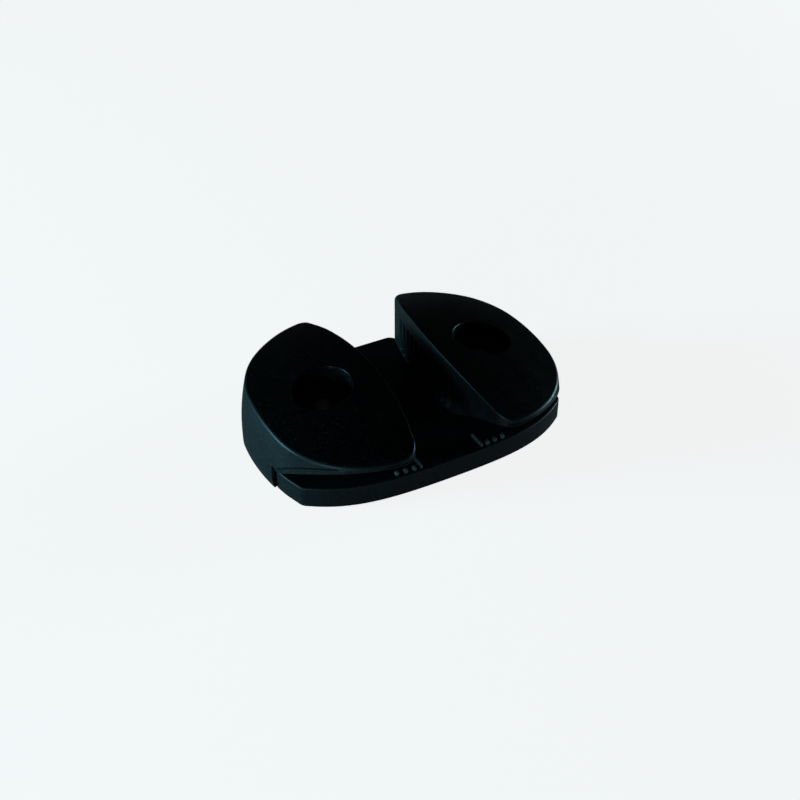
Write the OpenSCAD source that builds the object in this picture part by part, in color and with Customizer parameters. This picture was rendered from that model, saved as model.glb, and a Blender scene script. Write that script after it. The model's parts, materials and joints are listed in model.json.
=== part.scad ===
// Cam cleat for a sheet or control line.
// Two half-moon cams turn on vertical pivots over a flat deck plate.
// Origin: on the deck face, midway between the two pivots.
// +X towards the right cam, +Y towards the back, +Z up. Millimetres.

/* [Mounting] */
// Distance between the two deck bolts, which are also the cam pivots
bolt_spacing = 38; // [38:0.5:40]
// Diameter of the deck bolt holes
bolt_hole_d = 5.2; // [4.8:0.1:5.6]

/* [Base plate] */
// Thickness of the plate
base_t = 4.7; // [4.5:0.1:4.8]
// How far the back edge lies behind the pivots
base_back = 26; // [25.6:0.1:27]
// How far the middle of the front edge lies in front of the pivots
base_front = 20.5; // [20:0.1:21]
// Half the width of the tongue between the cams
tongue_half_w = 11.6; // [10.5:0.1:11.8]
// Height of the moulded ribs at the front edge
rib_h = 0.9; // [0.4:0.1:1.1]

/* [Cam] */
// Reach of the cam's outer side from its pivot, under the rim of its top
cam_reach = 13.2; // [13.1:0.1:13.4]
// How much further the outer side reaches at the deck
cam_flare = 1.7; // [0.4:0.1:1.9]
// Distance from the pivot to the gripping face
cam_face = 11.8; // [11.5:0.1:12]
// Height of the top surface at the pivot
cam_h = 16.7; // [16.4:0.1:17.4]
// Diameter of the round hole in the top
cam_hole_d = 12.3; // [12.2:0.02:12.34]
// Angle from wide open to closed
cam_swing = 27; // [20:1:27]
// Number of grip grooves in the gripping face
tooth_count = 11; // [5:1:13]

/* [Pivot] */
// Outside diameter of the pivot bush
bush_d = 8.4; // [8.36:0.02:8.44]
// Diameter of the bearing balls
ball_d = 1.9; // [1.88:0.01:1.9]
// Balls in one row
ball_count = 16; // [12:1:16]

/* [Spring] */
// Wire diameter
wire_d = 0.9; // [0.7:0.1:1]
// Diameter of the coil at the wire's centre
coil_d = 17.4; // [17.3:0.1:17.5]
// Turns of the coil
coil_turns = 2.75; // [1.75:1:2.75]

/* [Hidden] */
$fn = 72;
TINY = 0.01;
HIGH = 40;

// Colours
BLACK_NYLON = [0.06, 0.07, 0.08];
DARK_ACETAL = [0.12, 0.12, 0.13];
STEEL = [0.62, 0.63, 0.65];

// Each cam is drawn in its own frame: the pivot is the Z axis, +X points outward from the
// rope channel and +Y to the back. The left cam is the right one mirrored.
pivot_x = bolt_spacing / 2;

// Outline of a cam: one flat arc down the outer side and two tighter arcs that run
// tangent from it round to the back and round to the front.
side_r = 50;
side_proud = 0.02;
back_r = 19.4;
front_r = 20.8;
side_angle = 8;
outline_y = 1.3;
side_centre = [cam_reach - side_r, outline_y];
back_centre = side_centre + (side_r - back_r) * [cos(side_angle), sin(side_angle)];
front_centre = side_centre + (side_r - front_r) * [cos(side_angle), -sin(side_angle)];

// The walls lean out on the way down: a lot at first, and little below the middle height
flare_mid_z = 9;
flare_top_z = 21;
flare_mid = 0.75 * cam_flare;
flare_top = -flare_mid;

// The back stays upright: an upright cylinder trims the back arc's flare
trim_angle = -10;
trim_shift = 1.08 * cam_flare;
trim_centre = back_centre + trim_shift * [cos(trim_angle), sin(trim_angle)];

// Gripping face: a shallow arc that bulges into the rope channel
face_r = 90;
face_centre = [face_r - cam_face, -1];
corner_proud = 0.01;
back_corner_r = 2.6;
nose_corner_r = 3.6;

// How far the nose's wall stands out at its middle height
nose_flare = 0.35 * cam_flare;

// Top: part of a big sphere, highest beside the channel and sloping outward and forward
dome_r = 96;
dome_x = -16.1;
dome_y = 7.9;
dome_centre = [dome_x, dome_y, cam_h - sqrt(pow(dome_r, 2) - pow(dome_x, 2) - pow(dome_y, 2))];

// Any height above the dome's top
cam_top = 20;

// Underside: rests just over the plate, and rises towards the nose on a shallow arc, which is
// cut only in front of the skirt
cam_floor = base_t + 0.3;
bow_r = 45;
bow_y = -31;
bow_start_y = -7.6;
bow_stop_y = -6.6;
bow_centre = [bow_y, cam_floor - sqrt(pow(bow_r, 2) - pow(bow_start_y - bow_y, 2))];

// Thin groove round the front, which levels off under the top's edge
groove_r = 25;
groove_top = cam_h - 5.5;
groove_centre = [-22.6, groove_top - groove_r];
groove_w = 0.3;
groove_deep = 0.35;
groove_from_y = -6.4;
groove_to_x = -8;

// Outer skirt, which comes down past the plate's side almost to the deck
skirt_r = 12.2;
skirt_floor = 0.3;
skirt_from = -22;
skirt_to = 76;
seam_gap = 0.3;
plate_r = 11.9;
shoulder_gap = 2;
shoulder_y = 20;
tongue_corner_r = 2;
notch_r = 0.6;
notch_from = 2.3;
notch_to = 5.2;
notch_at = [14.3, -5.8];

// Moulded ribs on the plate, by their distance from the middle
long_rib_x = 7.1;
long_rib_w = 0.5;
long_rib_y = [-20, -15.7];
short_rib_x = [8.6, 10.5, 12.4];
short_rib_w = 1;
short_rib_from = 0.25;
short_rib_to = 1.8;

// Grip grooves
tooth_pitch = 2.4;
tooth_deep = 0.9;
tooth_side = tooth_deep * sqrt(2);
tooth_first_y = -6;
tooth_from = cam_floor + 0.6;
tooth_to = 14;

// Pivot stack, from the plate upwards
washer_t = 0.6;
washer_r = 7.2;
hub_floor = base_t + washer_t + 0.05;
lip_t = 0.95;
lip_r = bush_d / 2 + 0.05;
ball_pitch_r = (bush_d + cam_hole_d) / 4;
row_gap = 0.05;
lower_row_z = hub_floor + lip_t + row_gap + ball_d / 2;
spacer_z = lower_row_z + ball_d / 2 + row_gap;
spacer_t = 1.4;
upper_row_z = spacer_z + spacer_t + row_gap + ball_d / 2;
cap_z = upper_row_z + ball_d / 2 + row_gap;
cap_t = 1.3;
cap_r = cam_hole_d / 2 - 0.15;
cap_web = 0.3;
sink_r = 4.6;

// Spring pocket in the cam and the holes for the spring's legs
pocket_inner_r = 7.6;
pocket_outer_r = 9.8;
pocket_top = 9.3;
coil_z = base_t + wire_d / 2 + 0.1;
coil_pitch = 1.15;
leg_down = 2.3;
leg_up = 2.2;
leg_clear = 0.15;
leg_gap = 0.3;
leg_angle = 60;
slot_h = 1.8;
slot_angle = 32;
slot_spare = 4;

// Centre of the circle of radius r that touches two big circles from inside.
// side is +1 or -1, for the upper or the lower of the two places.
function corner_centre(c1, r1, c2, r2, side) =
    let (
        d = norm(c2 - c1),
        u = (c2 - c1) / d,
        a = (d * d + r1 * r1 - r2 * r2) / (2 * d),
        h = sqrt(r1 * r1 - a * a)
    )
    c1 + a * u + side * h * [-u[1], u[0]];

function unit(v) = v / norm(v);

// Front edge of the plate: nearly flat in the middle, curling back towards the corners
function front_y(x) = -base_front + 0.68 * pow(x / 20, 2) + 0.96 * pow(x / 20, 4);

// --- Shapes -------------------------------------------------------------------------

// Circular sector between two angles, as a polygon that reaches past radius r
module sector(r, from, to) {
    steps = ceil((to - from) / 30);
    polygon([
        [0, 0],
        for (i = [0:steps])
            let (a = from + (to - from) * i / steps)
            2 * r * [cos(a), sin(a)]
    ]);
}

// Solid of radius r near the cam's rim that widens downwards in two steps
module flared(centre, r) {
    translate(centre) {
        cylinder(r1 = r + cam_flare, r2 = r + flare_mid, h = flare_mid_z, $fn = 180);
        translate([0, 0, flare_mid_z])
            cylinder(r1 = r + flare_mid, r2 = r + flare_top, h = flare_top_z - flare_mid_z, $fn = 180);
    }
}

// Walls of the cam, drawn inset from the true outline and without corners rounded
module cam_walls(inset = 0) {
    intersection() {
        union() {
            flared(back_centre, back_r - inset);
            flared(front_centre, front_r - inset);
            intersection() {
                flared(side_centre, side_r + side_proud - inset);
                linear_extrude(cam_top)
                    translate(side_centre) sector(side_r, -side_angle, side_angle);
            }
        }
        translate(face_centre) cylinder(r = face_r - inset, h = cam_top, $fn = 360);
    }
}

// What is cut away to keep the back end upright
module back_trim() {
    difference() {
        translate([-HIGH, trim_centre[1], -1]) cube([2 * HIGH, HIGH, cam_top + 2]);
        translate([0, 0, -2]) translate(trim_centre) cylinder(r = back_r, h = cam_top + 4, $fn = 180);
    }
}

// What is cut away to round a corner of the cam with radius r. The rounding stands proud of the
// big circle r1 and of the face by a hair, so that it crosses them cleanly.
module corner_cut(c1, r1, r, side) {
    c = corner_centre(c1, r1 + corner_proud - r, face_centre, face_r + corner_proud - r, side);
    out1 = unit(c - c1);
    out2 = unit(c - face_centre);
    far = c + 4 * r * unit(out1 + out2);
    difference() {
        translate([0, 0, 1])
            linear_extrude(cam_top)
                polygon([c, c + 3 * r * out1, far, c + 3 * r * out2]);
        translate(c) cylinder(r = r, h = cam_top + 2, $fn = 48);
    }
}

// Solid under the domed top
module dome() {
    translate(dome_centre) sphere(dome_r, $fn = 300);
}

// Cylinder lying along X round a point in the YZ plane
module bow(r, centre) {
    translate([-HIGH, centre[0], centre[1]])
        rotate([0, 90, 0])
            cylinder(r = r, h = 2 * HIGH, $fn = 240);
}

// What is cut away under the nose
module nose_relief() {
    intersection() {
        bow(bow_r, bow_centre);
        translate([-HIGH, bow_stop_y - HIGH, -HIGH]) cube([2 * HIGH, HIGH, 2 * HIGH]);
    }
}

module ring(outer_r, inner_r, z, h) {
    translate([0, 0, z])
        difference() {
            cylinder(r = outer_r, h = h);
            translate([0, 0, -1]) cylinder(r = inner_r, h = h + 2);
        }
}

// --- Cam ----------------------------------------------------------------------------

// Everything under the cam's floor except the skirt
module under_floor() {
    translate([0, 0, -1])
        linear_extrude(cam_floor + 1)
            difference() {
                square(4 * side_r, center = true);
                difference() {
                    sector(side_r, skirt_from, skirt_to);
                    circle(skirt_r, $fn = 120);
                }
            }
    translate([0, 0, skirt_floor - HIGH / 2]) cube([4 * side_r, 4 * side_r, HIGH], center = true);
}

// Groove from the notch round to the nose
module side_groove() {
    difference() {
        bow(groove_r + groove_w, groove_centre);
        bow(groove_r, groove_centre);
        translate([0, 0, -1]) cam_walls(groove_deep);
        translate([-HIGH, groove_from_y, -HIGH]) cube([2 * HIGH, HIGH, 2 * HIGH]);
        translate([groove_to_x - HIGH, -HIGH, -HIGH]) cube([HIGH, 2 * HIGH, 2 * HIGH]);
    }
}

// Vertical grooves that make the gripping face bite
module tooth_grooves() {
    for (i = [0:tooth_count - 1]) {
        y = tooth_first_y + i * tooth_pitch;
        x = face_centre[0] - sqrt(pow(face_r, 2) - pow(y - face_centre[1], 2));
        translate([x, y, (tooth_from + tooth_to) / 2])
            rotate([0, 0, 45])
                cube([tooth_side, tooth_side, tooth_to - tooth_from], center = true);
    }
}

// The cam before its grooves and pockets are cut
module cam_body() {
    difference() {
        intersection() {
            cam_walls();
            dome();
        }
        back_trim();
        under_floor();
        corner_cut(trim_centre, back_r, back_corner_r, 1);
        corner_cut(front_centre, front_r + nose_flare, nose_corner_r, -1);
    }
}

module cam() {
    difference() {
        cam_body();
        nose_relief();
        side_groove();
        tooth_grooves();
        // Bearing bore, narrower at the lip that carries the balls
        translate([0, 0, hub_floor + lip_t]) cylinder(r = cam_hole_d / 2, h = HIGH);
        cylinder(r = lip_r, h = HIGH);
        // Room for the thrust washer
        cylinder(r = washer_r + 0.2, h = hub_floor);
        // Spring pocket and the arc slot for the spring's upper leg
        ring(pocket_outer_r, pocket_inner_r, 0, pocket_top);
        translate([0, 0, pocket_top - TINY])
            linear_extrude(slot_h)
                intersection() {
                    difference() {
                        circle(coil_d / 2 + wire_d / 2 + leg_clear);
                        circle(coil_d / 2 - wire_d / 2 - leg_clear);
                    }
                    sector(coil_d, upper_leg_angle() - slot_angle, upper_leg_angle() + slot_spare);
                }
        // Rounded notch where the skirt stops against the plate's shoulder
        notch();
    }
}

module notch() {
    translate([notch_at[0], notch_at[1], notch_from]) {
        cylinder(r = notch_r, h = notch_to - notch_from, $fn = 32);
        sphere(notch_r, $fn = 32);
        translate([0, 0, notch_to - notch_from]) sphere(notch_r, $fn = 32);
    }
}

// --- Base ---------------------------------------------------------------------------

// Half of the plate's front, from the middle to the rounded corner and the shoulder
module plate_front() {
    polygon([
        [-TINY, 0],
        [-TINY, front_y(0)],
        for (x = [1.5:1.5:28.5]) [x, front_y(x)],
        [29.8, front_y(29.4)],
        [30.6, -13.7],
        [31, -12.8],
        [32.1, -9],
        [32.7, -6.3],
        [33, -4],
        [33.1, 0]
    ]);
}

// Space the skirt sweeps through, in the cam's frame
module skirt_sweep() {
    difference() {
        sector(side_r, skirt_from - seam_gap, skirt_to + cam_swing + seam_gap);
        circle(plate_r, $fn = 120);
    }
}

// Half of the tongue between the cams, with a sloping shoulder where the skirt's sweep ends
module plate_tongue() {
    a = skirt_to + cam_swing + shoulder_gap;
    y = base_back - tongue_corner_r;
    polygon([
        [-TINY, 0],
        [pivot_x, 0],
        [pivot_x + plate_r * cos(a), plate_r * sin(a)],
        [tongue_half_w, shoulder_y],
        [tongue_half_w, y],
        [-TINY, y]
    ]);
    translate([-TINY, 0]) square([tongue_half_w - tongue_corner_r, base_back]);
    translate([tongue_half_w - tongue_corner_r, y]) circle(tongue_corner_r, $fn = 48);
}

module half_plate() {
    difference() {
        union() {
            difference() {
                plate_front();
                translate([pivot_x, 0]) skirt_sweep();
            }
            translate([pivot_x, 0]) circle(plate_r, $fn = 120);
            plate_tongue();
        }
        translate([pivot_x, 0]) circle(bolt_hole_d / 2);
    }
}

// A rounded rib running front to back
module rib(x, y0, y1, w) {
    translate([x, y0, base_t]) {
        translate([-w / 2, 0, -TINY]) cube([w, y1 - y0, rib_h - w / 2]);
        translate([0, 0, rib_h - w / 2])
            rotate([-90, 0, 0])
                cylinder(r = w / 2, h = y1 - y0, $fn = 24);
    }
}

module base_plate() {
    color(BLACK_NYLON)
        difference() {
            union() {
                for (side = [0, 1])
                    mirror([side, 0, 0]) {
                        linear_extrude(base_t) half_plate();
                        rib(long_rib_x, long_rib_y[0], long_rib_y[1], long_rib_w);
                        for (x = short_rib_x)
                            rib(x, front_y(x) + short_rib_from, front_y(x) + short_rib_to, short_rib_w);
                    }
            }
            for (side = [0, 1])
                mirror([side, 0, 0])
                    translate([pivot_x, 0, 0]) {
                        notch();
                        rotate([0, 0, leg_angle])
                            translate([coil_d / 2, 0, base_t - leg_down - leg_gap])
                                cylinder(r = wire_d / 2 + leg_clear, h = HIGH, $fn = 24);
                    }
        }
}

// --- Pivot stack, in the cam's frame --------------------------------------------------

module pivot_bush() {
    color(STEEL) ring(bush_d / 2, bolt_hole_d / 2, base_t, cap_z - base_t);
}

module thrust_washer() {
    color(DARK_ACETAL) ring(washer_r, bush_d / 2 + 0.1, base_t, washer_t);
}

module ball_row(z) {
    color(STEEL)
        for (i = [0:ball_count - 1])
            rotate([0, 0, 360 * i / ball_count])
                translate([ball_pitch_r, 0, z])
                    sphere(ball_d / 2, $fn = 24);
}

module race_spacer() {
    color(DARK_ACETAL) ring(cam_hole_d / 2 - 0.1, bush_d / 2 + 0.1, spacer_z, spacer_t);
}

module bush_cap() {
    color(BLACK_NYLON)
        difference() {
            ring(cap_r, bolt_hole_d / 2, cap_z, cap_t);
            translate([0, 0, cap_z + cap_web])
                cylinder(r1 = bolt_hole_d / 2, r2 = sink_r, h = cap_t - cap_web + TINY);
        }
}

// --- Spring ---------------------------------------------------------------------------

function upper_leg_angle() = leg_angle + 360 * (coil_turns - floor(coil_turns));

// Wire's centre line: down leg, coil, up leg
function coil_point(k) =
    let (a = leg_angle + 360 * k)
    [coil_d / 2 * cos(a), coil_d / 2 * sin(a), coil_z + coil_pitch * k];

steps_per_turn = 24;
coil_steps = round(coil_turns * steps_per_turn);
coil_points = [for (i = [0:coil_steps]) coil_point(i / steps_per_turn)];
spring_path = concat(
    [coil_points[0] - [0, 0, leg_down]],
    coil_points,
    [coil_points[coil_steps] + [0, 0, leg_up]]
);

// Ring of points round the wire. up is the wire's direction, out points away from the axis.
wire_sides = 8;
function wire_ring(p, dir) =
    let (
        out = unit([p[0], p[1], 0]),
        w = unit(cross(dir, out)),
        n = unit(cross(w, dir))
    )
    [for (s = [0:wire_sides - 1])
        p + wire_d / 2 * (cos(360 * s / wire_sides) * n + sin(360 * s / wire_sides) * w)];

function path_dir(i, path) =
    let (last = len(path) - 1)
    unit(path[min(i + 1, last)] - path[max(i - 1, 0)]);

module wire(path) {
    rings = [for (i = [0:len(path) - 1]) wire_ring(path[i], path_dir(i, path))];
    last = len(path) - 1;
    polyhedron(
        points = [for (r = rings) for (p = r) p],
        faces = concat(
            [[for (s = [0:wire_sides - 1]) s]],
            [[for (s = [wire_sides - 1:-1:0]) last * wire_sides + s]],
            [for (i = [0:last - 1])
                for (s = [0:wire_sides - 1])
                    let (
                        a = i * wire_sides + s,
                        b = i * wire_sides + (s + 1) % wire_sides
                    )
                    [a, a + wire_sides, b + wire_sides, b]]
        ),
        convexity = 10
    );
}

module spring() {
    color(STEEL) wire(spring_path);
}

// --- Left and right -------------------------------------------------------------------

module right() { translate([pivot_x, 0, 0]) children(); }
module left() { mirror([1, 0, 0]) right() children(); }

module left_cam() { color(BLACK_NYLON) left() cam(); }
module right_cam() { color(BLACK_NYLON) right() cam(); }
module left_pivot_bush() { left() pivot_bush(); }
module right_pivot_bush() { right() pivot_bush(); }
module left_thrust_washer() { left() thrust_washer(); }
module right_thrust_washer() { right() thrust_washer(); }
module left_lower_balls() { left() ball_row(lower_row_z); }
module right_lower_balls() { right() ball_row(lower_row_z); }
module left_race_spacer() { left() race_spacer(); }
module right_race_spacer() { right() race_spacer(); }
module left_upper_balls() { left() ball_row(upper_row_z); }
module right_upper_balls() { right() ball_row(upper_row_z); }
module left_bush_cap() { left() bush_cap(); }
module right_bush_cap() { right() bush_cap(); }
module left_spring() { left() spring(); }
module right_spring() { right() spring(); }

base_plate();
left_cam();
right_cam();
left_pivot_bush();
right_pivot_bush();
left_thrust_washer();
right_thrust_washer();
left_lower_balls();
right_lower_balls();
left_race_spacer();
right_race_spacer();
left_upper_balls();
right_upper_balls();
left_bush_cap();
right_bush_cap();
left_spring();
right_spring();
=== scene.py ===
"""Looks of the cam cleat: two moulded half-moon cams over a moulded deck plate.

The cams, the plate and the springs get detailed meshes of their own. The small parts of the two
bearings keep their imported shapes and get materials. Shapes are worked out in millimetres.
"""

import json
import math

import bmesh
import bpy
import numpy as np
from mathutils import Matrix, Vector


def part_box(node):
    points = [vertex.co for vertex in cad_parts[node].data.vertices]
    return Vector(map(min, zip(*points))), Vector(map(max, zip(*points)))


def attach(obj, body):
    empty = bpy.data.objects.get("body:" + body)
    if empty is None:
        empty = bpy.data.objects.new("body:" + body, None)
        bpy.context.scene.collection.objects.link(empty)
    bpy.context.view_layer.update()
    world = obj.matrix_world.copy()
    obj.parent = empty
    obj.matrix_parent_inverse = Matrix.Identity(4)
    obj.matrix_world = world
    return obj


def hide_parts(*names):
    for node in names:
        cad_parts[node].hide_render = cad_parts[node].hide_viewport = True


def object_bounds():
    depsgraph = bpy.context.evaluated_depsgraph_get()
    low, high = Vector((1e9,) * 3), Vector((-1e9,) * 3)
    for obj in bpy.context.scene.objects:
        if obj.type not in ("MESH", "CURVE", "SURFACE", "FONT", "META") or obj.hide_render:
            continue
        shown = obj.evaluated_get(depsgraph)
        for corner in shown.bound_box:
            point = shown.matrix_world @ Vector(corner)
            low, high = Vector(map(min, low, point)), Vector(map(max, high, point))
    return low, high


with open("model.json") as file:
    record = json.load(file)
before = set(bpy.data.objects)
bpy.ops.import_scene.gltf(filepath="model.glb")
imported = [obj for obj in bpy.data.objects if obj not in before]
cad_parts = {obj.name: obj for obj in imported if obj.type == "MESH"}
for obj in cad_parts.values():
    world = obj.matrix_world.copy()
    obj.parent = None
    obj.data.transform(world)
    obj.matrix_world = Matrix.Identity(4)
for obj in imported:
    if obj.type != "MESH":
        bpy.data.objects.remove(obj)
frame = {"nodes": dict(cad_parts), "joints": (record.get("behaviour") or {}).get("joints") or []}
cad_low, cad_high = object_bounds()

MM = 0.001


def cad_box(node):
    """Lowest and highest corner of a CAD node, in millimetres."""
    low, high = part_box(node)
    return np.array(low) / MM, np.array(high) / MM


# --- Sizes taken from the frame --------------------------------------------------------

PIVOT_X = abs(frame["joints"][0]["pos_m"][0]) / MM
SWING = frame["joints"][0]["range_deg"][1]

washer_low, washer_high = cad_box("right_thrust_washer")
cap_low, cap_high = cad_box("right_bush_cap")
bush_low, bush_high = cad_box("right_pivot_bush")
spring_low, spring_high = cad_box("right_spring")

# Gaps round the cap, the washer and the bush, and the radius of the spring's wire
CAP_GAP = 0.15
WASHER_GAP = 0.2
BUSH_GAP = 0.05
WIRE_R = 0.45

BASE_T = washer_low[2]
WASHER_R = (washer_high[0] - washer_low[0]) / 2
HOLE_R = (cap_high[0] - cap_low[0]) / 2 + CAP_GAP
BUSH_R = (bush_high[0] - bush_low[0]) / 2
COIL_R = (spring_high[0] - spring_low[0]) / 2 - WIRE_R

# --- Sizes of the cam, in its own frame: pivot at the origin, +X outward, +Y back -------

CAM_FLOOR = BASE_T + 0.3
HUB_FLOOR = washer_high[2] + 0.05
LIP_TOP = HUB_FLOOR + 0.95

# Outline of the top: an outer side, a back end, a front end and a gripping face, all arcs
SIDE_ANGLE = math.radians(8)
SIDE_R, BACK_R, FRONT_R, FACE_R = 50.0, 19.4, 20.8, 90.0
SIDE_CENTRE = np.array([-36.8, 1.3])
BACK_WAY = np.array([math.cos(SIDE_ANGLE), math.sin(SIDE_ANGLE)])
SIDE = (SIDE_CENTRE, SIDE_R)
BACK = (SIDE_CENTRE + (SIDE_R - BACK_R) * BACK_WAY, BACK_R)
FRONT = (SIDE_CENTRE + (SIDE_R - FRONT_R) * BACK_WAY * [1, -1], FRONT_R)
FACE = (np.array([78.2, -1.0]), FACE_R)
BACK_CORNER_R = 2.6
NOSE_CORNER_R = 3.6

# The outer wall leans out on the way down, and is upright below FLARE_FULL_Z. The nose has part
# of the flare, the wall behind it comes to the full flare, and the back end loses it.
FLARE = 1.7
NOSE_FLARE = 0.8
NOSE_TO_FULL = 0.2
BACK_FLARE = 1.08
BACK_FLARE_TURN = math.radians(10)
FLARE_FULL_Z = 3.0
FLARE_ZERO_Z = 15.0

CAM_H = 16.7
DOME_R = 96.0
DOME_X, DOME_Y = -16.1, 7.9
DOME_CENTRE = np.array([DOME_X, DOME_Y, CAM_H - math.sqrt(DOME_R**2 - DOME_X**2 - DOME_Y**2)])

# The rise of the nose's underside and the groove above it are arcs in the YZ plane
BOW_R = 45.0
BOW_Y = -31.0
BOW_START_Y = -7.6
BOW_CENTRE = (BOW_Y, CAM_FLOOR - math.sqrt(BOW_R**2 - (BOW_START_Y - BOW_Y) ** 2))
GROOVE_CENTRE = (-22.6, CAM_H - 30.5)
GROOVE_R = 25.15
GROOVE_DEEP = 0.35
GROOVE_HALF = 0.16
GROOVE_FROM_Y = -6.4
GROOVE_TO_X = -8.0

SKIRT_FROM = math.radians(-22)
SKIRT_TO = math.radians(76)
SKIRT_R = 12.2
SKIRT_FLOOR = 0.3
SKIRT_MID_Z = 3.0

TOOTH_PITCH = 2.4
TOOTH_COUNT = 11
TOOTH_FIRST_Y = -6.0
TOOTH_DEEP = 0.9
TOOTH_TOP = (14.3, 13.6)
TOOTH_BOTTOM = (6.1, 5.6)

POCKET_HALF = 1.1
POCKET_OUTER_R = COIL_R + POCKET_HALF
POCKET_INNER_R = COIL_R - POCKET_HALF
POCKET_TOP = 9.3
SLOT_TOP = 11.1
SLOT_HALF = 0.6
SLOT_ANGLES = (298, 334)

NOTCH_AT = (14.3, -5.8)
NOTCH_R = 0.6
NOTCH_Z = (2.3, 5.2)

TOP_BEVEL = 0.45
FACE_BEVEL = 0.28
BEVEL_FADE = 4
BEVEL_FRONT_Y = -16
BEVEL_BACK_Y = 20
BACK_BEVEL_EXTRA = 0.5
BACK_BEVEL_FROM_Y = 17
BACK_BEVEL_FADE = 6
LIP_BEVEL = 0.3
RIM_BEVEL = 0.22

# Where the search for the top's and the underside's edge starts
FIRST_GUESS_Z = 12.0


def unit(v):
    return v / np.linalg.norm(v)


def angle_of(v):
    return math.atan2(v[1], v[0])


def corner_centre(a, b, r, side):
    """Centre of the circle of radius r that touches circles a and b from inside."""
    (ca, ra), (cb, rb) = (a[0], a[1] - r), (b[0], b[1] - r)
    d = np.linalg.norm(cb - ca)
    u = (cb - ca) / d
    along = (d * d + ra * ra - rb * rb) / (2 * d)
    off = math.sqrt(ra * ra - along * along)
    return ca + along * u + side * off * np.array([-u[1], u[0]])


def ray_angle(circle, angle):
    """Direction, seen from the circle's centre, of the point where it meets a ray from the pivot."""
    centre, r = circle
    u = np.array([math.cos(angle), math.sin(angle)])
    t = centre @ u + math.sqrt((centre @ u) ** 2 - centre @ centre + r * r)
    return angle_of(t * u - centre)


def dome(p):
    """Height of the cam's top over points in plan."""
    d = p - DOME_CENTRE[:2]
    return DOME_CENTRE[2] + np.sqrt(DOME_R**2 - (d**2).sum(axis=-1))


def underside(p):
    """Height of the cam's underside over points in plan: flat, then rising to the nose."""
    y = p[..., 1]
    reach = np.clip(BOW_R**2 - (y - BOW_CENTRE[0]) ** 2, 0, None)
    return np.maximum(CAM_FLOOR, BOW_CENTRE[1] + np.sqrt(reach))


def flare(z):
    """How far the outer wall stands out from the top's outline at a height."""
    t = np.clip((z - FLARE_FULL_Z) / (FLARE_ZERO_Z - FLARE_FULL_Z), 0, 1.3)
    return FLARE * (1 - t**2)


def groove_height(y):
    return GROOVE_CENTRE[1] + np.sqrt(np.clip(GROOVE_R**2 - (y - GROOVE_CENTRE[0]) ** 2, 0, None))


def smooth(x):
    x = np.clip(x, 0, 1)
    return x * x * (3 - 2 * x)


# --- Mesh helpers -----------------------------------------------------------------------


def make_object(name, points, faces, **values):
    """A mesh object from points in millimetres, without doubled points. values become attributes."""
    mesh = bpy.data.meshes.new(name)
    mesh.from_pydata([tuple(p) for p in np.asarray(points) * MM], [], faces)
    for attribute, value in values.items():
        layer = mesh.attributes.new(attribute, "FLOAT", "POINT")
        layer.data.foreach_set("value", np.asarray(value, np.float32))
    bm = bmesh.new()
    bm.from_mesh(mesh)
    bmesh.ops.remove_doubles(bm, verts=bm.verts, dist=2e-7)
    bmesh.ops.recalc_face_normals(bm, faces=bm.faces)
    bm.to_mesh(mesh)
    bm.free()
    piece = bpy.data.objects.new(name, mesh)
    bpy.context.scene.collection.objects.link(piece)
    return piece


def loft(rings, closed_ends=False):
    """Points and faces that join rings of points. Without ends, the last ring joins the first."""
    count = len(rings[0])
    points = np.concatenate(rings)
    faces = []
    for j in range(len(rings) - (1 if closed_ends else 0)):
        k = (j + 1) % len(rings)
        for i in range(count):
            n = (i + 1) % count
            faces.append((j * count + i, j * count + n, k * count + n, k * count + i))
    if closed_ends:
        faces.append(tuple(range(count)))
        faces.append(tuple((len(rings) - 1) * count + i for i in range(count)))
    return points, faces


def lathe(name, profile, at=(0, 0), steps=48, side=1):
    """A closed solid of revolution round a vertical axis, from (radius, height) points."""
    a = np.linspace(0, 2 * math.pi, steps, endpoint=False)
    rings = [
        np.stack([at[0] + r * np.cos(a), at[1] + r * np.sin(a), np.full(steps, z)], axis=1)
        for r, z in profile
    ]
    points, faces = loft(rings, closed_ends=True)
    points[:, 0] *= side
    return make_object(name, points, faces)


def combine(piece, others, operation):
    """Cuts the others out of a piece, or joins them to it, and removes them."""
    for other in others:
        cut = piece.modifiers.new("combine", "BOOLEAN")
        cut.object = other
        cut.operation = operation
        cut.solver = "MANIFOLD"
        graph = bpy.context.evaluated_depsgraph_get()
        result = bpy.data.meshes.new_from_object(piece.evaluated_get(graph), depsgraph=graph)
        piece.modifiers.clear()
        piece.data = result
        bpy.data.objects.remove(other)


def finish_mesh(piece, sharp_angle=38):
    """Smooth shading that keeps true corners and keeps flat faces flat."""
    bm = bmesh.new()
    bm.from_mesh(piece.data)
    bmesh.ops.remove_doubles(bm, verts=bm.verts, dist=5e-7)
    bmesh.ops.dissolve_degenerate(bm, edges=bm.edges, dist=2e-7)
    bm.to_mesh(piece.data)
    bm.free()
    piece.data.shade_smooth()
    piece.data.set_sharp_from_angle(angle=math.radians(sharp_angle))
    weighted = piece.modifiers.new("flat faces stay flat", "WEIGHTED_NORMAL")
    weighted.keep_sharp = True


# --- Cams ---------------------------------------------------------------------------------


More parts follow.
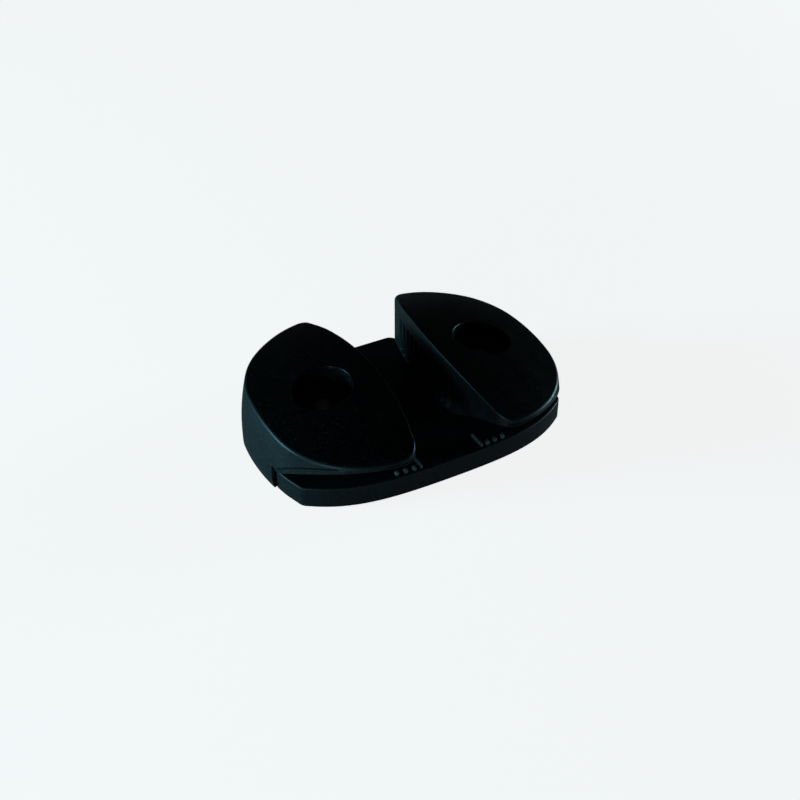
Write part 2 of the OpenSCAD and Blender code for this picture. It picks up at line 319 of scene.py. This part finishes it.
def cam_columns():
    """The cam's columns, counter-clockwise: arc centre and radius, direction, skirt, tooth, flare."""
    back_corner = corner_centre(BACK, FACE, BACK_CORNER_R, 1)
    nose_corner = corner_centre(FRONT, FACE, NOSE_CORNER_R, -1)
    turn = 2 * math.pi
    nose_from = angle_of(nose_corner - FACE[0]) % turn
    nose_to = angle_of(nose_corner - FRONT[0]) % turn
    back_from = angle_of(back_corner - BACK[0])
    back_to = angle_of(back_corner - FACE[0])
    skirt_front = ray_angle(FRONT, SKIRT_FROM) % turn
    skirt_back = ray_angle(BACK, SKIRT_TO)
    columns = []

    def arc(circle, start, end, step, flared, skirt=False):
        centre, r = circle
        count = max(2, math.ceil(abs(end - start) * r / step))
        for a in np.linspace(start, end, count + 1):
            columns.append((centre, r, a, skirt, 0.0, flared((a - start) / (end - start), a)))

    def back_flare(_, a):
        return float(np.clip(BACK_FLARE * math.cos(a + BACK_FLARE_TURN), 0, 1))

    arc((nose_corner, NOSE_CORNER_R), nose_from, nose_to, 0.3, lambda t, a: NOSE_FLARE * smooth(t))
    arc(FRONT, nose_to, skirt_front, 0.7, lambda t, a: NOSE_FLARE + NOSE_TO_FULL * smooth(t))
    arc(FRONT, skirt_front, turn - SIDE_ANGLE, 0.5, lambda t, a: 1.0, skirt=True)
    arc(SIDE, -SIDE_ANGLE, SIDE_ANGLE, 0.7, lambda t, a: 1.0, skirt=True)
    arc(BACK, SIDE_ANGLE, skirt_back, 0.7, back_flare, skirt=True)
    arc(BACK, skirt_back, back_from, 0.7, back_flare)
    arc((back_corner, BACK_CORNER_R), back_from, back_to, 0.25, lambda t, a: 0.0)

    centre, r = FACE
    first, last = TOOTH_FIRST_Y, TOOTH_FIRST_Y + (TOOTH_COUNT - 1) * TOOTH_PITCH
    y_back = centre[1] + r * math.sin(back_to)
    y_nose = centre[1] + r * math.sin(nose_from)
    margin = TOOTH_PITCH / 2
    ys = np.concatenate([
        np.linspace(y_back, last + margin, 4)[1:-1],
        np.linspace(last + margin, first - margin, TOOTH_COUNT * 8 + 1),
        np.linspace(first - margin, y_nose, 15)[1:-1],
    ])
    for y in ys:
        nearest = first + TOOTH_PITCH * np.clip(round((y - first) / TOOTH_PITCH), 0, TOOTH_COUNT - 1)
        tooth = max(0.0, TOOTH_DEEP - math.hypot(y - nearest, 0.1))
        columns.append((centre, r, math.pi - math.asin((y - centre[1]) / r), False, tooth, 0.0))
    return columns


def cam_rings():
    """Rings of the cam's closed surface, from the hole's rim outward, down, inward and up."""
    columns = cam_columns()
    centre = np.array([c[0] for c in columns])
    radius = np.array([c[1] for c in columns])
    angle = np.array([c[2] for c in columns])
    skirt = np.array([c[3] for c in columns])
    tooth = np.array([c[4] for c in columns])
    flared = np.array([c[5] for c in columns])
    normal = np.stack([np.cos(angle), np.sin(angle)], axis=1)
    on_face = (radius == FACE[1]).astype(float)

    def outline(inset, z):
        return centre + (radius - inset + flared * flare(z))[:, None] * normal

    def settle(height, inset):
        """The outline on a surface whose height depends on the place, found from a first guess."""
        z = np.full(len(radius), FIRST_GUESS_Z)
        for _ in range(6):
            z = height(outline(inset, z))
        return outline(inset, z)

    edge = settle(dome, 0)
    edge_z = dome(edge)
    ray = edge / np.linalg.norm(edge, axis=1)[:, None]
    y = edge[:, 1]
    softer = smooth((y - BEVEL_BACK_Y) / BEVEL_FADE) + smooth((BEVEL_FRONT_Y - y) / BEVEL_FADE)
    on_face_bevel = FACE_BEVEL + (TOP_BEVEL - FACE_BEVEL) * np.clip(softer, 0, 1)
    bevel = np.where(on_face > 0, on_face_bevel, TOP_BEVEL)
    bevel = bevel + BACK_BEVEL_EXTRA * smooth((y - BACK_BEVEL_FROM_Y) / BACK_BEVEL_FADE)
    # Each ring gets an edge value, whose lighter colour is partly a painted highlight, and a value that
    # paints the top and the hole near-black as shade and makes them smoother
    rings, wear, polish = [], [], []

    def add(plan, z, worn_and_lit=0.0, polished=0.0):
        rings.append(np.column_stack([plan, np.broadcast_to(z, len(plan))]))
        wear.append(np.full(len(plan), worn_and_lit))
        polish.append(np.full(len(plan), polished))

    def add_wall(inset, z, worn_and_lit=0.0):
        add(outline(inset, z), z, worn_and_lit)

    # Rim of the hole and the domed top
    # The rim gets some of the edge value, partly a painted highlight; rim and top get the value that
    # paints them near-black as shade and makes them smoother
    for step in range(4):
        t = step / 3 * math.pi / 2
        r = HOLE_R + RIM_BEVEL * (1 - math.cos(t))
        add(r * ray, dome(r * ray) - RIM_BEVEL * (1 - math.sin(t)), 0.6, 1.0)
    inner = (HOLE_R + RIM_BEVEL) * ray
    outer = outline(bevel, edge_z)
    gap = np.linalg.norm(outer - inner, axis=1)
    support = np.clip(0.25 / gap, 0, 0.3)
    for t in np.linspace(0, 1, 13):
        share = (support + (1 - 2 * support) * t)[:, None]
        plan = inner + (outer - inner) * share
        add(plan, dome(plan), 0.0, 1.0)

    # Rounded top edge
    # The edge value lightens the rounding, partly as a painted highlight; the painted shade of the top
    # fades out down it
    for step in range(6):
        t = step / 5 * math.pi / 2
        drop = bevel * (1 - math.cos(t))
        plan = outline(bevel * (1 - math.sin(t)), edge_z - drop)
        add(plan, dome(plan) - drop, 1.0, 1 - step / 5)

    # Outer wall with the side groove or the grip grooves
    wall_top = edge_z - bevel - 0.02
    lip = underside(settle(underside, LIP_BEVEL)) + LIP_BEVEL
    height = wall_top - lip
    in_groove = (y < GROOVE_FROM_Y) & (edge[:, 0] > GROOVE_TO_X) & (on_face == 0)
    z_groove = groove_height(y)
    fade = smooth((wall_top - z_groove - 0.1) / 0.3) * smooth((GROOVE_FROM_Y - y) / 1.2)
    depth = np.where(in_groove, GROOVE_DEEP * fade, 0)
    has_teeth = (on_face > 0) & (y > TOOTH_FIRST_Y - TOOTH_PITCH)
    offsets = (GROOVE_HALF * 1.6, GROOVE_HALF * 0.6, -GROOVE_HALF * 0.6, -GROOVE_HALF * 1.6)
    teeth_z = (*TOOTH_TOP, *TOOTH_BOTTOM)
    insets = (0, 1, 1, 0)
    above = wall_top - 0.12
    add_wall(0, above)
    for k in range(4):
        even = wall_top - height * (k + 1) / 5
        z = np.where(in_groove, z_groove + offsets[k], np.where(has_teeth, teeth_z[k], even))
        z = np.minimum(z, above - 0.02)
        z = np.maximum(z, lip + 0.02 * (5 - k))
        above = z
        add_wall(insets[k] * (depth + tooth), z)
    add_wall(0, lip)

    # Lower lip, or the skirt that reaches down past the plate
    floor = np.where(skirt, SKIRT_FLOOR, lip - LIP_BEVEL)
    add_wall(0, np.where(skirt, SKIRT_MID_Z, lip))
    # The lip's rounding gets the edge value: rubbed nylon, and partly a painted highlight
    add_wall(0, floor + LIP_BEVEL, 0.8)
    for step in range(1, 4):
        t = step / 3 * math.pi / 2
        add_wall(LIP_BEVEL * (1 - math.cos(t)), floor + LIP_BEVEL * (1 - math.sin(t)), 0.8)

    # Underside, the skirt's inner wall and the way in to the spring pocket
    start = outline(LIP_BEVEL, floor)
    reach = np.linalg.norm(start, axis=1)
    skirt_edge = np.minimum(SKIRT_R + 0.2, reach - 0.15)
    end = skirt_edge[:, None] * ray
    for t in (0.08, 0.25, 0.45, 0.65, 0.85, 1.0):
        plan = start + (end - start) * t
        add(plan, np.where(skirt, SKIRT_FLOOR, underside(plan)))
    inner_r = np.minimum(SKIRT_R, skirt_edge - 0.1)
    plan = inner_r[:, None] * ray
    add(plan, np.where(skirt, SKIRT_FLOOR + 0.2, underside(plan)))
    add(plan, underside(plan))
    for share in (0.5, 1.0):
        r = inner_r + (POCKET_OUTER_R - inner_r) * share
        plan = r[:, None] * ray
        add(plan, underside(plan))

    # Spring pocket, washer recess, ball lip and bearing bore
    add(POCKET_OUTER_R * ray, POCKET_TOP)
    add(POCKET_INNER_R * ray, POCKET_TOP)
    add(POCKET_INNER_R * ray, underside(POCKET_INNER_R * ray))
    add((WASHER_R + WASHER_GAP) * ray, CAM_FLOOR)
    add((WASHER_R + WASHER_GAP) * ray, HUB_FLOOR)
    add((BUSH_R + BUSH_GAP) * ray, HUB_FLOOR)
    # The ball lip's top and the hole wall above it get the painted shade and smoother finish of the top
    add((BUSH_R + BUSH_GAP) * ray, LIP_TOP, 0.0, 1.0)
    add(HOLE_R * ray, LIP_TOP, 0.0, 1.0)
    return rings, np.concatenate(wear), np.concatenate(polish)


def notch_cutter(side):
    """Upright round-ended rod that leaves the notch between a cam and the plate."""
    low, high = NOTCH_Z
    caps = [math.radians(a) for a in (-88, -60, -30, 0)]
    profile = [(NOTCH_R * math.cos(a), low + NOTCH_R * math.sin(a)) for a in caps]
    profile += [(NOTCH_R * math.cos(a), high - NOTCH_R * math.sin(a)) for a in reversed(caps)]
    return lathe("notch", profile, (PIVOT_X + NOTCH_AT[0], NOTCH_AT[1]), 32, side)


def slot_cutter(side):
    """Arc-shaped bar that leaves room for the spring's upper leg over the whole swing."""
    rings = []
    for a in np.radians(np.linspace(*SLOT_ANGLES, 13)):
        ray = np.array([math.cos(a), math.sin(a)])
        corners = [(-1, POCKET_TOP - 0.4), (1, POCKET_TOP - 0.4), (1, SLOT_TOP), (-1, SLOT_TOP)]
        rings.append(np.array([[*((COIL_R + s * SLOT_HALF) * ray), z] for s, z in corners]))
    points, faces = loft(rings, closed_ends=True)
    points[:, 0] = side * (points[:, 0] + PIVOT_X)
    return make_object("slot", points, faces)


def build_cam(name, side):
    rings, wear, polish = cam_rings()
    points, faces = loft(rings)
    points[:, 0] = side * (points[:, 0] + PIVOT_X)
    piece = make_object(name + "_shell", points, faces, wear=wear, polish=polish)
    combine(piece, [notch_cutter(side), slot_cutter(side)], "DIFFERENCE")
    finish_mesh(piece)
    return piece


# --- Base plate ---------------------------------------------------------------------------

BOLT_R = 2.6
LEG_HOLE_R = 0.6
LEG_HOLE_FLOOR = 2.1
LEG_ANGLE = math.radians(60)
PLATE_R = 11.9
PLATE_FRONT = 20.5
PLATE_BACK = 26.0
TONGUE_HALF = 11.6
SHOULDER_Y = 20.0
PLATE_BEVEL = 0.32
FOOT_BEVEL = 0.25

# Where the plate is cut back to a disc so that a skirt can swing past it. Gaps in degrees.
CUT_OUTER_R = 14.9
CUT_GAP_FRONT = 0.3
CUT_GAP_BACK = 2

# Ribs near the front edge: one long and three short ones on each side of the middle
RIB_TOP = cad_box("base_plate")[1][2]
LONG_RIB_X = 7.1
LONG_RIB_Y = (-20, -15.7)
LONG_RIB_W = 0.5
SHORT_RIB_X = (8.6, 10.5, 12.4)
SHORT_RIB_FROM_EDGE = (0.42, 1.6)
SHORT_RIB_W = 0.85
RIB_ROUNDING = 0.42
RIB_SUNK = 0.3


def front_y(x):
    """Front edge of the plate: nearly flat in the middle, curling back at the corners."""
    return -PLATE_FRONT + 0.68 * (x / 20) ** 2 + 0.96 * (x / 20) ** 4


def rounded(corners, step=0.22):
    """Points along a line of corners (x, y, radius), each corner turned into an arc."""
    path = []
    for i, (x, y, r) in enumerate(corners):
        here = np.array([x, y])
        if r == 0 or i in (0, len(corners) - 1):
            path.append(here)
            continue
        a = unit(np.array(corners[i - 1][:2]) - here)
        b = unit(np.array(corners[i + 1][:2]) - here)
        half = math.acos(np.clip(a @ b, -1, 1)) / 2
        r = min(r, 0.48 * math.tan(half) * min(
            np.linalg.norm(np.array(corners[i - 1][:2]) - here),
            np.linalg.norm(np.array(corners[i + 1][:2]) - here)))
        centre = here + unit(a + b) * r / math.sin(half)
        start = angle_of(here + a * r / math.tan(half) - centre)
        end = angle_of(here + b * r / math.tan(half) - centre)
        turn = (end - start + math.pi) % (2 * math.pi) - math.pi
        for t in np.linspace(start, start + turn, max(4, math.ceil(abs(turn) * r / step) + 1)):
            path.append(centre + r * np.array([math.cos(t), math.sin(t)]))
    return path


def half_plate_outline():
    """Right half of the plate's outline, from the middle of the front to the middle of the back."""
    pivot = np.array([PIVOT_X, 0])
    sweep_from = SKIRT_FROM - math.radians(CUT_GAP_FRONT)
    sweep_to = SKIRT_TO + math.radians(SWING + CUT_GAP_BACK)

    def on_disc(a, r=PLATE_R):
        return pivot + r * np.array([math.cos(a), math.sin(a)])

    front = [(x, front_y(x), 0) for x in np.arange(0, 28.6, 0.75)]
    cut = on_disc(sweep_from, CUT_OUTER_R)
    inner = on_disc(sweep_from)
    side = [(30.8, -13.6, 2.2), (32.2, -9, 14), (cut[0], cut[1], 0.75), (inner[0], inner[1], 0.4)]
    disc = [(*on_disc(a), 0) for a in np.linspace(sweep_from + 0.06, sweep_to - 0.06, 90)]
    shoulder = on_disc(sweep_to)
    back = [
        (shoulder[0], shoulder[1], 0.5),
        (TONGUE_HALF, SHOULDER_Y, 1.5),
        (TONGUE_HALF, PLATE_BACK, 2.0),
        (0, PLATE_BACK, 0),
    ]
    return np.array(rounded(front + side + disc + back))


def inset_curve(curve, distance):
    """A closed counter-clockwise curve moved inward by a small distance."""
    before = curve - np.roll(curve, 1, axis=0)
    after = np.roll(curve, -1, axis=0) - curve
    before /= np.linalg.norm(before, axis=1)[:, None]
    after /= np.linalg.norm(after, axis=1)[:, None]
    along = before + after
    mid = np.stack([-along[:, 1], along[:, 0]], axis=1)
    mid /= (mid**2).sum(axis=1)[:, None] / 2
    return curve + distance * mid


def rib_piece(x, y0, y1, width, side):
    """A rounded rib on the plate near its front edge."""
    bm = bmesh.new()
    bmesh.ops.create_cube(bm, size=1)
    height = RIB_TOP - BASE_T + RIB_SUNK
    for v in bm.verts:
        v.co = Vector((
            side * x + v.co.x * width,
            (y0 + y1) / 2 + v.co.y * (y1 - y0),
            RIB_TOP - height / 2 + v.co.z * height,
        )) * MM
    upper = [e for e in bm.edges if sum(v.co.z for v in e.verts) / 2 > (BASE_T + 0.01) * MM]
    bmesh.ops.bevel(
        bm,
        geom=upper,
        offset=RIB_ROUNDING * width * MM,
        segments=4,
        profile=0.5,
        affect="EDGES",
        clamp_overlap=True,
    )
    mesh = bpy.data.meshes.new("rib")
    bm.to_mesh(mesh)
    bm.free()
    rib = bpy.data.objects.new("rib", mesh)
    bpy.context.scene.collection.objects.link(rib)
    return rib


def scuff_ribs(piece):
    """Marks the ribs as scuffed. They are all that stands above the plate."""
    for vertex, wear in zip(piece.data.vertices, piece.data.attributes["wear"].data):
        if vertex.co.z > (BASE_T + 0.1) * MM:
            wear.value = 2.0


def build_plate():
    half = half_plate_outline()
    mirrored = (half * [-1, 1])[::-1]
    curve = np.concatenate([half, mirrored[1:-1]])
    rings, wear = [], []

    def add(inset, z, worn_and_lit=0.0):
        rings.append(np.column_stack([inset_curve(curve, inset), np.full(len(curve), z)]))
        wear.append(np.full(len(curve), worn_and_lit))

    add(0.5, 0)
    # The rounded foot and top edges get the edge value: rubbed nylon, and partly a painted highlight
    for t in np.radians((90, 60, 30, 0)):
        add(FOOT_BEVEL * math.sin(t), FOOT_BEVEL * (1 - math.cos(math.pi / 2 - t)), 0.5)
    for z in (0.4, BASE_T / 2, BASE_T - PLATE_BEVEL - 0.15):
        add(0, z)
    for t in np.radians((0, 20, 45, 70, 90)):
        add(PLATE_BEVEL * (1 - math.cos(t)), BASE_T - PLATE_BEVEL * (1 - math.sin(t)), 1.0)
    add(PLATE_BEVEL + 0.2, BASE_T)
    points, faces = loft(rings, closed_ends=True)
    piece = make_object("base_shell", points, faces, wear=np.concatenate(wear))

    ribs = []
    for side in (-1, 1):
        ribs.append(rib_piece(LONG_RIB_X, *LONG_RIB_Y, LONG_RIB_W, side))
        for x in SHORT_RIB_X:
            ends = [front_y(x) + distance for distance in SHORT_RIB_FROM_EDGE]
            ribs.append(rib_piece(x, *ends, SHORT_RIB_W, side))
    combine(piece, ribs, "UNION")
    scuff_ribs(piece)

    cutters = []
    for side in (-1, 1):
        hole = [(BOLT_R + 0.3, -0.1), (BOLT_R + 0.3, 0), (BOLT_R, 0.3), (BOLT_R, BASE_T - 0.2)]
        hole += [(BOLT_R + 0.2, BASE_T), (BOLT_R + 0.2, BASE_T + 1)]
        cutters.append(lathe("bolt_hole", hole, (PIVOT_X, 0), 64, side))
        leg_hole = [(LEG_HOLE_R, LEG_HOLE_FLOOR), (LEG_HOLE_R, BASE_T + 1)]
        leg = (PIVOT_X + COIL_R * math.cos(LEG_ANGLE), COIL_R * math.sin(LEG_ANGLE))
        cutters.append(lathe("leg_hole", leg_hole, leg, 24, side))
        cutters.append(notch_cutter(side))
    combine(piece, cutters, "DIFFERENCE")
    finish_mesh(piece)
    return piece


# --- Springs --------------------------------------------------------------------------------

COIL_TURNS = 2.75
COIL_PITCH = 1.15
LEG_DOWN = 2.3
LEG_UP = 2.2


def build_spring(name, side):
    """A torsion spring of round wire with one leg in the plate and one in the cam."""
    steps = round(COIL_TURNS * 60)
    turns = np.linspace(0, COIL_TURNS, steps + 1)
    a = LEG_ANGLE + 2 * math.pi * turns
    first_z = BASE_T + WIRE_R + 0.1
    coil = np.stack([COIL_R * np.cos(a), COIL_R * np.sin(a), first_z + COIL_PITCH * turns], axis=1)
    down = [coil[0] - [0, 0, LEG_DOWN * s] for s in (1, 0.95, 0.5, 0.12)]
    up = [coil[-1] + [0, 0, LEG_UP * s] for s in (0.12, 0.5, 0.95, 1)]
    path = np.array([*down, *coil, *up])
    path[:, 0] = side * (path[:, 0] + PIVOT_X)
    ahead = np.gradient(path, axis=0)
    ahead /= np.linalg.norm(ahead, axis=1)[:, None]
    out = path - [side * PIVOT_X, 0, 0]
    out[:, 2] = 0
    across = np.cross(ahead, out)
    across /= np.linalg.norm(across, axis=1)[:, None]
    out = np.cross(across, ahead)
    wire = np.full(len(path), WIRE_R)
    wire[[0, -1]] = WIRE_R * 0.7
    ring_angles = np.linspace(0, 2 * math.pi, 16, endpoint=False)
    rings = []
    for p, o, c, r in zip(path, out, across, wire):
        rings.append(p + r * (np.cos(ring_angles)[:, None] * o + np.sin(ring_angles)[:, None] * c))
    points, faces = loft(rings, closed_ends=True)
    piece = make_object(name + "_coil", points, faces)
    finish_mesh(piece, 50)
    return piece


# --- Materials ------------------------------------------------------------------------------


class Nodes:
    """A material's node tree, with short calls for the nodes that these materials use."""

    def __init__(self, name):
        self.material = bpy.data.materials.new(name)
        self.material.use_nodes = True
        self.tree = self.material.node_tree
        self.shader = self.tree.nodes["Principled BSDF"]
        self.place = self.add("ShaderNodeTexCoord").outputs["Object"]

    def add(self, kind):
        return self.tree.nodes.new(kind)

    def link(self, source, target):
        self.tree.links.new(source, target)

    def noise(self, scale, detail=2.0, roughness=0.5):
        """Even noise with features of about 1 / scale metres."""
        node = self.add("ShaderNodeTexNoise")
        node.inputs["Scale"].default_value = scale
        node.inputs["Detail"].default_value = detail
        node.inputs["Roughness"].default_value = roughness
        self.link(self.place, node.inputs["Vector"])
        return node.outputs["Fac"]

    def remap(self, value, low, high, to_low=0.0, to_high=1.0):
        node = self.add("ShaderNodeMapRange")
        node.inputs["From Min"].default_value = low
        node.inputs["From Max"].default_value = high
        node.inputs["To Min"].default_value = to_low
        node.inputs["To Max"].default_value = to_high
        self.link(value, node.inputs["Value"])
        return node.outputs["Result"]

    def math(self, operation, a, b):
        node = self.add("ShaderNodeMath")
        node.operation = operation
        for value, socket in ((a, node.inputs[0]), (b, node.inputs[1])):
            if isinstance(value, (int, float)):
                socket.default_value = value
            else:
                self.link(value, socket)
        return node.outputs[0]

    def mix(self, share, a, b):
        """Colour mix. a and b are colours or colour outputs."""
        node = self.add("ShaderNodeMix")
        node.data_type = "RGBA"
        self.link(share, node.inputs["Factor"])
        for value, socket in ((a, node.inputs[6]), (b, node.inputs[7])):
            if isinstance(value, tuple):
                socket.default_value = (*value, 1)
            else:
                self.link(value, socket)
        return node.outputs[2]

    def bump(self, height, distance, strength, below=None):
        node = self.add("ShaderNodeBump")
        node.inputs["Strength"].default_value = strength
        node.inputs["Distance"].default_value = distance
        self.link(height, node.inputs["Height"])
        if below is not None:
            self.link(below, node.inputs["Normal"])
        return node.outputs["Normal"]

    def attribute(self, name):
        node = self.add("ShaderNodeAttribute")
        node.attribute_name = name
        return node.outputs["Fac"]


def black_nylon():
    """Moulded black nylon: fine grain, cloudiness, pale specks, lighter edges that are rubbed and partly a
    painted highlight, smoother tops and holes painted near-black as shade.

    The attribute wear is up to 1 on edges, where its lighter colour is partly a painted highlight, and 2
    on the scuffed ribs. The attribute polish is 1 on the cams' tops and in their holes, where it paints
    shade as a near-black colour and lowers the roughness.
    """
    m = Nodes("black_nylon")
    clouds = m.noise(220, 4, 0.6)
    grain = m.noise(4200, 2)
    specks = m.remap(m.noise(4000, 1), 0.66, 0.77)
    # Edge value with noise: it lowers the roughness, and its lighter colour is rubbed nylon and partly a
    # painted highlight
    worn_and_lit = m.math("MULTIPLY", m.attribute("wear"), m.remap(m.noise(900, 3), 0.3, 0.7, 0.35, 1.0))
    base = m.mix(m.remap(clouds, 0.3, 0.7), (0.0045, 0.0075, 0.010), (0.008, 0.0135, 0.017))
    base = m.mix(m.math("MULTIPLY", specks, 0.8), base, (0.12, 0.14, 0.15))
    # Lighter colour along the edges: rubbed nylon, and partly a painted highlight on the rounded edges
    base = m.mix(m.math("MULTIPLY", worn_and_lit, 0.5), base, (0.035, 0.052, 0.060))
    scuffed = m.remap(m.attribute("wear"), 1.0, 2.0, 0.0, 0.8)
    base = m.mix(m.math("MULTIPLY", scuffed, m.remap(clouds, 0.3, 0.6, 0.5, 1.0)), base, (0.16, 0.19, 0.2))
    # Painted shade: the cams' tops and holes get a near-black colour that keeps the pale specks
    polish = m.attribute("polish")
    dark = m.mix(specks, (0.0012, 0.0016, 0.002), (0.11, 0.125, 0.14))
    base = m.mix(m.math("MULTIPLY", polish, 0.95), base, dark)
    m.link(base, m.shader.inputs["Base Color"])
    rough = m.remap(m.math("ADD", clouds, m.math("MULTIPLY", grain, 0.4)), 0.4, 1.0, 0.40, 0.58)
    rough = m.math("SUBTRACT", rough, m.math("MULTIPLY", worn_and_lit, 0.1))
    rough = m.math("SUBTRACT", rough, m.math("MULTIPLY", polish, 0.14))
    m.link(rough, m.shader.inputs["Roughness"])
    coarse = m.bump(m.noise(700, 2), 0.00004, 0.35)
    m.link(m.bump(grain, 0.00003, 0.6, coarse), m.shader.inputs["Normal"])
    m.shader.inputs["Specular IOR Level"].default_value = 0.3
    return m.material


def dark_acetal():
    """Machined dark acetal: fine grain and a low sheen."""
    m = Nodes("dark_acetal")
    fine = m.noise(3000, 2)
    m.link(m.mix(fine, (0.012, 0.012, 0.014), (0.024, 0.024, 0.027)), m.shader.inputs["Base Color"])
    m.link(m.remap(fine, 0.3, 0.7, 0.3, 0.42), m.shader.inputs["Roughness"])
    m.link(m.bump(fine, 0.00002, 0.4), m.shader.inputs["Normal"])
    return m.material


def stainless():
    """Drawn and turned stainless steel: fine scratches over a bright metal."""
    m = Nodes("stainless")
    fine = m.noise(5000, 3, 0.7)
    stain = m.noise(400, 3)
    m.link(m.mix(stain, (0.52, 0.53, 0.55), (0.66, 0.67, 0.68)), m.shader.inputs["Base Color"])
    m.link(m.remap(fine, 0.3, 0.7, 0.2, 0.36), m.shader.inputs["Roughness"])
    m.link(m.bump(fine, 0.00001, 0.4), m.shader.inputs["Normal"])
    m.shader.inputs["Metallic"].default_value = 1.0
    return m.material


def paint(piece, material):
    piece.data.materials.clear()
    piece.data.materials.append(material)


# --- The object -------------------------------------------------------------------------------

NYLON = black_nylon()
ACETAL = dark_acetal()
STEEL = stainless()

plate = build_plate()
paint(plate, NYLON)
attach(plate, "base")
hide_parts("base_plate")

for name, side in (("left", -1), ("right", 1)):
    cam = build_cam(name + "_cam", side)
    paint(cam, NYLON)
    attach(cam, name + "_cam_body")
    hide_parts(name + "_cam")

    spring = build_spring(name + "_spring", side)
    paint(spring, STEEL)
    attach(spring, "base")
    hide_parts(name + "_spring")

KEPT_PARTS = {
    "pivot_bush": STEEL,
    "lower_balls": STEEL,
    "upper_balls": STEEL,
    "thrust_washer": ACETAL,
    "race_spacer": ACETAL,
    "bush_cap": NYLON,
}
for part, material in KEPT_PARTS.items():
    for name in ("left", "right"):
        paint(frame["nodes"][name + "_" + part], material)

# --- Studio -------------------------------------------------------------------------------------


SOFTBOX_HEIGHT = 0.09


def studio_floor():
    """A wide pale floor under the object. It glows to the camera, and barely to the object."""
    bpy.ops.mesh.primitive_plane_add(size=6, location=(0, 0, cad_low.z))
    floor = bpy.context.object
    floor.name = "floor"
    m = Nodes("pale_floor")
    tone = m.remap(m.noise(3, 2), 0.3, 0.7, 0.86, 0.9)
    m.link(tone, m.shader.inputs["Base Color"])
    m.shader.inputs["Roughness"].default_value = 0.9
    m.shader.inputs["Specular IOR Level"].default_value = 0.1
    m.shader.inputs["Emission Color"].default_value = (1, 1, 1, 1)
    seen = m.add("ShaderNodeLightPath").outputs["Is Camera Ray"]
    m.link(m.remap(seen, 0, 1, 0.05, 0.85), m.shader.inputs["Emission Strength"])
    paint(floor, m.material)


def softbox(name, azimuth, elevation, distance, width, power, colour):
    """A low, wide area light that looks at the object. Azimuth 0 is in front, -90 at the left."""
    a, e = math.radians(azimuth), math.radians(elevation)
    away = Vector((math.sin(a) * math.cos(e), -math.cos(a) * math.cos(e), math.sin(e)))
    light = bpy.data.lights.new(name, "AREA")
    light.shape = "RECTANGLE"
    light.size = width
    light.size_y = SOFTBOX_HEIGHT
    light.energy = power
    light.color = colour
    lamp = bpy.data.objects.new(name, light)
    lamp.location = away * distance
    lamp.rotation_mode = "QUATERNION"
    lamp.rotation_quaternion = away.to_track_quat("Z", "Y")
    bpy.context.scene.collection.objects.link(lamp)


def studio_world():
    """White to the camera, dim to the object."""
    world = bpy.data.worlds.new("studio")
    bpy.context.scene.world = world
    world.use_nodes = True
    nodes, links = world.node_tree.nodes, world.node_tree.links
    background = nodes["Background"]
    seen = nodes.new("ShaderNodeLightPath").outputs["Is Camera Ray"]
    level = nodes.new("ShaderNodeMapRange")
    level.inputs["To Min"].default_value = 0.006
    level.inputs["To Max"].default_value = 1.0
    links.new(seen, level.inputs["Value"])
    links.new(level.outputs["Result"], background.inputs["Strength"])
    background.inputs["Color"].default_value = (1, 1, 1, 1)


def photo_camera():
    """The camera, 29 degrees to the left of the front and 36 degrees up."""
    aim = Vector((3.667, 8.452, 0)) * MM
    azimuth, elevation, distance = math.radians(-29.145), math.radians(35.97), 272.8 * MM
    back = Vector((
        math.sin(azimuth) * math.cos(elevation),
        -math.cos(azimuth) * math.cos(elevation),
        math.sin(elevation),
    ))
    data = bpy.data.cameras.new("camera")
    data.sensor_width = 36
    data.lens = 55.26
    data.clip_start = 0.01
    camera = bpy.data.objects.new("camera", data)
    camera.location = aim + back * distance
    camera.rotation_mode = "QUATERNION"
    camera.rotation_quaternion = (-back).to_track_quat("-Z", "Y")
    bpy.context.scene.collection.objects.link(camera)
    bpy.context.scene.camera = camera


studio_floor()
studio_world()
softbox("left", -112, 4.5, 0.7, 0.25, 2.8, (0.3, 0.86, 1.0))
softbox("front_left", -60, 4.5, 0.7, 0.12, 0.9, (0.5, 0.88, 1.0))
softbox("right", 88, 2.2, 0.7, 0.3, 2.6, (0.5, 0.9, 1.0))
softbox("back", 165, 8, 0.9, 0.6, 0.03, (0.8, 0.95, 1.0))
photo_camera()
bpy.context.scene.view_settings.view_transform = "Standard"
